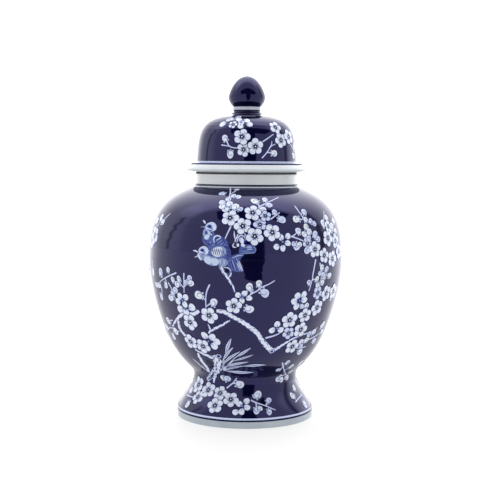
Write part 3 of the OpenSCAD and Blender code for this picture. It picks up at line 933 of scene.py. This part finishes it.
def bird_head(paint, angle, height, size, layer):
    """A head facing left: a white crown, a shaded face with a stripe under it, and the eye."""
    at = (angle, height)

    def part(edge, ink, tier):
        paint.blob(at, loop(np.array(edge) * size), ink, layer, tier)

    part([(-5.4, -0.8), (-4.2, 2.6), (-1.2, 4.2), (2.6, 3.8), (5, 1.2), (4.8, -2.4), (1.8, -4),
        (-2.6, -3.4)], "petal_cool", 6)
    part([(-4.6, -1.2), (-3.8, 1.4), (-1.6, 2.4), (0.6, 1.8), (1.6, 0), (1.6, -2.6), (0, -3.8),
        (-2.6, -3.2)], "wash", 7)
    part([(-2.2, -2), (0, -0.2), (1.8, -1.6), (2.4, -3.2), (0.8, -4), (-1.4, -3.4)], "bird", 8)
    part([(-3.4, 0), (-2.4, 1.6), (-0.6, 1.8), (0.6, 0.6), (0, -0.8), (-2.2, -0.9)], "deep", 9)
    paint.blob(moved(paint, at, -1.2 * size, 0.5 * size), oval(1.7, 1.5, count=10), "ink", layer, 10)
    under = [moved(paint, at, x * size, y * size) for x, y in ((-4.8, -0.6), (-2.4, -1.6), (0.4, -2.2),
        (2.6, -3.6))]
    paint.stroke(under, [1.8, 1.3, 0.9, 0.4], "petal_cool", layer, 10)
    crown = [moved(paint, at, x * size, y * size) for x, y in ((-3.6, 2.4), (-0.6, 3.6), (2.6, 2.8),
        (4.1, 0.2))]
    paint.stroke(crown, [0.7, 2, 2.2, 0.8], "down", layer, 8)


def perch(paint):
    """The twig that the birds sit on, with their feet."""
    branch(paint, [(-13.4, 166.8), (-12.2, 162), (-10.2, 157), (-8.6, 152.5), (-6.9, 147.5), (-5.6, 141.5)],
        [1.8, 3.4, 2.4, 2.2, 1.8, 1.2], 6)
    paint.stroke([(-14.4, 167.6), (-13.8, 164.4), (-12.6, 161.4)], [0.8, 1.2, 0.8], "wash", 0, 6)
    paint.stroke([(-8.6, 167.8), (-7.2, 164.6), (-8.4, 161.4), (-10, 158.6)], [1.2, 2.4, 2.2, 1.4], "bird",
        0, 5)
    hatch(paint, (-8, 166.2), (-8.6, 160.6), 4, (0.9, -1.2), 0.7, ("petal_cool", "wash"), 0, 6)
    paint.blob((-9.9, 162.2), oval(4.8, 4.4, 20), "ink", 0, 7)
    paint.stroke([(-11.8, 165.6), (-9.4, 165.2), (-7.9, 162.6)], [0.6, 1.1, 0.6], "petal_cool", 0, 8)
    paint.stroke([(-7.6, 160.8), (-8.2, 157.8), (-9.4, 155.6)], [1, 1.8, 0.8], "petal_cool", 0, 8)


def lid_spray(paint):
    """The garland round the front of the dome."""
    twigs(paint, [[(-22.8, 287.7), (-19.4, 282.7), (-11, 281), (-6, 283)], [(-29.4, 284), (-19.4, 282.7)],
        [(-25, 290), (-22.8, 287.7)], [(18.3, 287.3), (26.7, 291.8), (33.3, 295.2)], [(17.2, 271),
        (23.3, 276.8), (28.3, 282.7), (34.4, 285.2)], [(23.3, 276.8), (31, 276.5)], [(-30, 307.5),
        (-22, 309), (-14, 311)], [(26, 280.5), (29.5, 285), (30, 288)], [(60, 286), (68, 280), (76, 277)]],
        1.3)
    buds(paint, [(-25.6, 290.8, 3.4, 120), (-18, 274.4, 3.7, -90), (32.4, 276, 3.5, 0), (-28, 309, 2.4, 170),
        (-14, 312.4, 2.8, 30), (-24, 310, 2.4, 170), (72, 284, 3.4, 30), (66, 274, 3, -60)])
    petals(paint, (-7.6, 307), [(-7.8, 303), (-7.4, 306.6), (4, 304.8), (0.4, 308.6), (-11.5, 309.6)], 6.4,
        0)
    petal(paint, -33.4, 305.2, 7.4, 195, 0)
    flowers(paint, [(-18, 304.6, 4.6)], 0)
    flowers(paint, [(-3.2, 279.4, 7)], 0)
    flowers(paint, [(38.9, 302.2, 7.2), (10, 282.6, 8.2), (-5.3, 292.2, 8.4), (43.3, 289.2, 7.8),
        (59, 293, 8)], 1)


# ---- Lines and order of painting

def make_lines(body, dome):
    """The pairs of dark and white lines at foot, shoulder and rim."""
    neck = Skin(between(NECK, max(NECK), NECK_TOP))
    slope = Skin(between(FLANGE, max(FLANGE), DOME_OUT))
    root = ROOT[1]
    paint = Painting(body)
    for skin, low, high, ink in (
            (body, 7.0, 8.7, "ink"), (body, 8.9, 10.7, "petal_cool"),
            (body, 241.3, 242.3, "petal"), (body, 242.4, 243.5, "ink"),
            (neck, root + 0.05, root + 0.9, "groove")):
        paint.ring_line(skin, low, high, ink)
    paint.piece("jar_lines", JAR, "white_glaze")
    for skin, low, high, ink in ((slope, -2.5, -0.9, "groove"), (slope, -0.8, -0.05, "petal_cool"),
                                 (dome, 0.05, 1.1, "petal_cool")):
        paint.ring_line(skin, DOME_Z + low, DOME_Z + high, ink)
    paint.piece("lid_lines", LID, "white_glaze")


PAINTED = (
    ("branches", (main_branch, trunk)),
    ("blossom_right", (crown_sprig, shoulder_sprig, chain_sprig)),
    ("blossom_left", (left_sprig, centre_sprig, low_right_sprig, low_twig, foot_sprig, side_sprig)),
)


def make_painting():
    body = Skin([(FOOT_R, 1.6), (FOOT_R, 4.8)] + JAR_OUT)
    dome = Skin(between(DOME, DOME_OUT, DOME[-1]))
    make_lines(body, dome)
    paint = Painting(body)
    for side, paint.shift in (("front", 0), ("back", 180)):
        for name, motifs in PAINTED:
            for motif in motifs:
                motif(paint)
            paint.piece(f"{name}_{side}", JAR, "white_glaze")
    paint.shift = 0
    perch(paint)
    upper_bird(paint)
    lower_bird(paint)
    paint.piece("birds", JAR, "cobalt_glaze")
    paint = Painting(dome)
    for paint.shift in (0, 180):
        lid_spray(paint)
    paint.piece("lid_blossom", LID, "white_glaze")


# ---- Studio

CEILING, FRONT_GLOW, BACK_GLOW, FLOOR_GLOW, SEEN_GLOW = 1.65, 1.0, 1.9, 0.71, 1.8
BACK_START, BACK_END = 0.2, 1.15
SKEW = 0.15
SLOT_LEFT, SLOT_RIGHT = -5.5, 22
DEGREES = 57.29578  # in a radian

# Windows in the tent: how much darker each is, how its sides lean, its left, right, low and high
# edges in degrees, and their softness: the dark slot in front, a thin streak, a gap, and a panel.
WINDOWS = (
    (1.0, 0, SLOT_LEFT, SLOT_RIGHT, -10, 52, 1.5),
    (0.7, -0.35, -107.5, -102.5, 1, 34, 3),
    (0.75, 0, 97, 106, -12, 46, 4),
    (-0.3, 0, -115, -82, 2, 55, 6),
)


def sum_of(tree, a, b, operation="ADD"):
    made = tree.nodes.new("ShaderNodeMath")
    made.operation = operation
    for k, part in enumerate((a, b)):
        if isinstance(part, (int, float)):
            made.inputs[k].default_value = part
        else:
            tree.links.new(part, made.inputs[k])
    return made.outputs[0]


def product(tree, a, b):
    return sum_of(tree, a, b, "MULTIPLY")


def smooth_step(tree, value, start, end, low=0.0, high=1.0):
    made = tree.nodes.new("ShaderNodeMapRange")
    made.interpolation_type = "SMOOTHSTEP"
    for name, number in (("From Min", start), ("From Max", end), ("To Min", low), ("To Max", high)):
        socket(made, name, number)
    tree.links.new(value, made.inputs["Value"])
    return made.outputs["Result"]


def slot_mask(tree, turn, rise, left, right, low, high, soft):
    """1 inside a window of directions, in degrees, with soft edges."""
    out = smooth_step(tree, turn, left - soft, left + soft)
    for value, edge, start, end in ((turn, right, 1, 0), (rise, low, 0, 1), (rise, high, 1, 0)):
        out = product(tree, out, smooth_step(tree, value, edge - soft, edge + soft, start, end))
    return out


def make_world():
    """A light tent: brighter overhead and behind, with a dark slot in front, and plain when seen."""
    world = bpy.data.worlds.new("tent")
    bpy.context.scene.world = world
    world.use_nodes = True
    tree = world.node_tree
    way = tree.nodes.new("ShaderNodeSeparateXYZ")
    tree.links.new(tree.nodes.new("ShaderNodeTexCoord").outputs["Generated"], way.inputs[0])
    x, y, z = way.outputs
    rise = product(tree, sum_of(tree, z, 0.0, "ARCSINE"), DEGREES)
    turn = product(tree, sum_of(tree, x, product(tree, y, -1.0), "ARCTAN2"), DEGREES)
    over = smooth_step(tree, sum_of(tree, y, product(tree, z, 0.25)), -0.02, 0.2, 0.0, CEILING)
    glow = sum_of(tree, product(tree, over, smooth_step(tree, z, 0.42, 1.0)), FRONT_GLOW)
    skewed = sum_of(tree, y, product(tree, x, SKEW))
    glow = sum_of(tree, glow, smooth_step(tree, skewed, BACK_START, BACK_END, 0.0, BACK_GLOW))
    for depth, lean, *window in WINDOWS:
        across = sum_of(tree, turn, product(tree, rise, lean)) if lean else turn
        dark = product(tree, slot_mask(tree, across, rise, *window), depth)
        glow = product(tree, glow, sum_of(tree, 1.0, dark, "SUBTRACT"))
    seen = product(tree, tree.nodes.new("ShaderNodeLightPath").outputs["Is Camera Ray"], SEEN_GLOW)
    back = tree.nodes["Background"]
    tree.links.new(sum_of(tree, glow, seen, "MAXIMUM"), back.inputs["Strength"])
    socket(back, "Color", (1, 1, 1, 1))


def slab(name, corners, height, material):
    mesh = bpy.data.meshes.new(name)
    mesh.from_pydata([(x, y, height) for x, y in corners], [], [tuple(range(len(corners)))])
    mesh.materials.append(material)
    made = placed(name, mesh)
    return made


def make_floor(height, side=30):
    """A pale floor that glows all over, so that little shade shows on it near the jar, and glows more behind
    the jar as the tent does.
    """
    pale = shaded("floor_pale", (0.20, 0.20, 0.20), 0.7)
    tree = pale.node_tree
    shader = tree.nodes["Principled BSDF"]
    socket(shader, "Emission Color", (1, 1, 1, 1))
    across = tree.nodes.new("ShaderNodeSeparateXYZ")
    tree.links.new(place_node(tree), across.inputs[0])
    away = tree.nodes.new("ShaderNodeVectorMath")
    away.operation = "LENGTH"
    tree.links.new(place_node(tree), away.inputs[0])
    skewed = sum_of(tree, across.outputs["Y"], product(tree, across.outputs["X"], SKEW))
    toward_back = sum_of(tree, skewed, sum_of(tree, away.outputs["Value"], 0.18), "DIVIDE")
    behind = smooth_step(tree, toward_back, BACK_START, BACK_END, 0.0, BACK_GLOW)
    tree.links.new(sum_of(tree, behind, FLOOR_GLOW), shader.inputs["Emission Strength"])
    slab("floor", [(-side, -side), (side, -side), (side, side), (-side, side)], height, pale)


def hidden_card(name, corners, height, material):
    """A dark card that only shows in the glaze, as the gaps between the studio's white panels do."""
    card = slab(name, corners, height, material)
    card.visible_camera = card.visible_diffuse = card.visible_shadow = False


def make_cards(floor_z):
    """The dark slot's strip along the floor, with a round end, and a card over the lens."""
    dark = shaded("card_dark", (0.0, 0.0, 0.0), 0.9)
    socket(dark.node_tree.nodes["Principled BSDF"], "Specular IOR Level", 0.0)
    near, far, end_r = 0.49, 25.0, 0.2
    left, right = (math.tan(math.radians(a)) for a in (SLOT_LEFT, SLOT_RIGHT))
    end = [((left + right) / 2 * near * 1.3 + 0.11 * math.cos(t), -near - end_r + end_r * math.sin(t))
           for t in np.linspace(0, math.pi, 13)]
    hidden_card("slot_floor_card", [(left * far, -far), (right * far, -far)] + end, floor_z + 0.002, dark)
    hidden_card("overhead_card", [(-0.27, -0.376), (0.36, -0.36), (0.32, -0.15), (-0.20, -0.18)], 0.55, dark)


def make_camera():
    """The camera in front, a little to the right and above, tipped down and slightly rolled."""
    place, pitch, roll, focal_per_width = (0.0043, -1.1802, 0.2695), 4.6, 0.43, 2.248
    data = bpy.data.cameras.new("camera")
    data.sensor_width = 36
    data.lens = data.sensor_width * focal_per_width
    data.clip_end = 100
    camera = placed("camera", data)
    camera.matrix_world = (mathutils.Matrix.Translation(place)
                           @ mathutils.Matrix.Rotation(math.radians(90 - pitch), 4, "X")
                           @ mathutils.Matrix.Rotation(math.radians(roll), 4, "Z"))
    bpy.context.scene.camera = camera


for make in (make_jar_wall, make_foot_ring, make_neck, make_lid_rim, make_locating_ring, make_dome,
             make_collar, make_bud, make_painting, make_world):
    make()
make_floor(cad_box[0][2])
make_cards(cad_box[0][2])
make_camera()
bpy.context.scene.view_settings.view_transform = "Standard"
